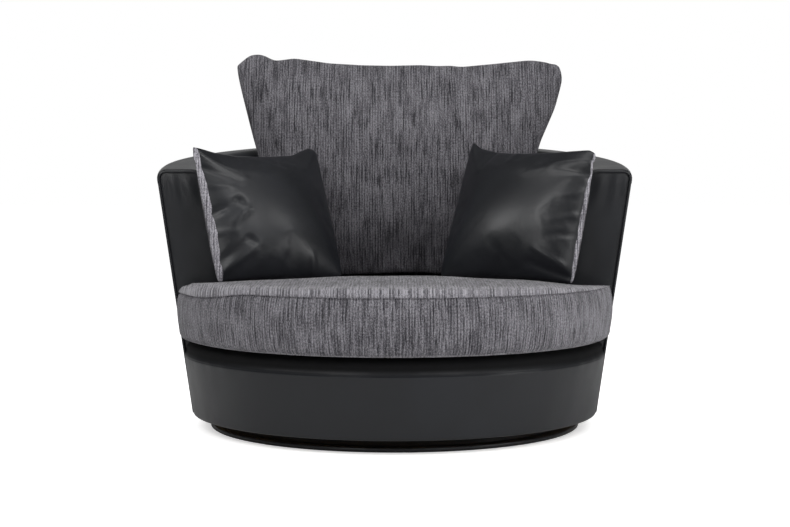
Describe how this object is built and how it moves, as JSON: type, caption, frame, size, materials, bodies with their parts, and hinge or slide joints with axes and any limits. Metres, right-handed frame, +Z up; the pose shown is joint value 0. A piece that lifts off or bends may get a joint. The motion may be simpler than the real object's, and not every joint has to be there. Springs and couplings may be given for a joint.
{
  "type": "swivel chair",
  "caption": "Round two-seater swivel tub chair with a flared upholstered shell, boxed seat cushion, tall pillow back and loose scatter cushions on a low turntable plinth.",
  "frame": {"origin": "on the swivel axis at floor level, at the middle of the centre glide's underside", "axes": "+Z up along the swivel axis, -Y towards the sitter's front, +X to the right seen from the front"},
  "size_m": [1.2366, 1.2014, 0.967],
  "materials": {
    "black_leather": "black faux leather, smooth with a soft sheen",
    "grey_chenille": "grey jumbo-cord chenille with darker streaks",
    "black_cloth": "black woven platform cloth",
    "board": "plywood board",
    "timber": "planed softwood",
    "hardboard": "bent hardboard",
    "foam": "cut upholstery foam",
    "felt": "grey needle felt",
    "steel": "pressed steel",
    "zinc": "zinc-plated steel",
    "nylon": "white nylon",
    "black_plastic": "black moulded plastic"
  },
  "bodies": {
    "plinth": {"plinth_board": "board", "plinth_cover": "black_leather", "glide_front_right": "black_plastic", "glide_back_right": "black_plastic", "glide_back_left": "black_plastic", "glide_front_left": "black_plastic", "glide_centre": "black_plastic", "swivel_lower_race": "steel", "lower_race_screw_1": "zinc", "lower_race_screw_2": "zinc", "lower_race_screw_3": "zinc", "lower_race_screw_4": "zinc", "swivel_centre_pin": "zinc", "swivel_pin_nut": "zinc"},
    "cage": {"ball_cage": "nylon", "bearing_ball_1": "steel", "bearing_ball_2": "steel", "bearing_ball_3": "steel", "bearing_ball_4": "steel", "bearing_ball_5": "steel", "bearing_ball_6": "steel"},
    "seat": {"swivel_upper_race": "steel", "upper_race_screw_1": "zinc", "upper_race_screw_2": "zinc", "upper_race_screw_3": "zinc", "upper_race_screw_4": "zinc", "swivel_bush": "nylon", "base_board": "board", "deck_post_front_right": "timber", "deck_post_back_right": "timber", "deck_post_back_left": "timber", "deck_post_front_left": "timber", "deck_frame": "board", "zigzag_spring_1": "steel", "zigzag_spring_2": "steel", "zigzag_spring_3": "steel", "zigzag_spring_4": "steel", "deck_pad": "felt", "platform_cloth": "black_cloth", "base_front_panel": "hardboard", "base_front_foam": "foam", "base_front_cover": "black_leather", "top_rail": "timber", "arm_rib_right": "timber", "arm_rib_left": "timber", "back_rib_right": "timber", "back_rib_left": "timber", "outer_wall_panel": "hardboard", "inner_wall_panel": "hardboard", "wall_foam": "foam", "inner_cover": "black_leather", "outer_cover": "black_leather", "arm_facing_right": "black_leather", "arm_facing_left": "black_leather", "arm_piping_right": "black_leather", "arm_piping_left": "black_leather"},
    "seat_cushion": {"seat_cushion": "grey_chenille"},
    "back_cushion": {"back_cushion": "grey_chenille"},
    "scatter_left": {"scatter_cushion_left": "black_leather"},
    "scatter_right": {"scatter_cushion_right": "black_leather"}
  },
  "joints": [
    {"name": "swivel", "type": "hinge", "parent": "plinth", "child": "seat", "pos_m": [0, 0, 0.0303], "axis": [0, 0, 1], "continuous": true},
    {"name": "ball_cage_spin", "type": "hinge", "parent": "plinth", "child": "cage", "pos_m": [0, 0, 0.0303], "axis": [0, 0, 1], "continuous": true},
    {"name": "seat_cushion_lift", "type": "slide", "parent": "seat", "child": "seat_cushion", "axis": [0, 0, 1], "range_m": [0, 0.35]},
    {"name": "back_cushion_lift", "type": "slide", "parent": "seat_cushion", "child": "back_cushion", "axis": [0, 0, 1], "range_m": [0, 0.5]},
    {"name": "scatter_left_lift", "type": "slide", "parent": "seat_cushion", "child": "scatter_left", "axis": [0.2506, -0.3509, 0.9023], "range_m": [0, 0.4]},
    {"name": "scatter_right_lift", "type": "slide", "parent": "seat_cushion", "child": "scatter_right", "axis": [-0.2506, -0.3509, 0.9023], "range_m": [0, 0.4]}
  ],
  "couplings": [
    {"joint": "ball_cage_spin", "follows": "swivel", "ratio": 0.5}
  ]
}
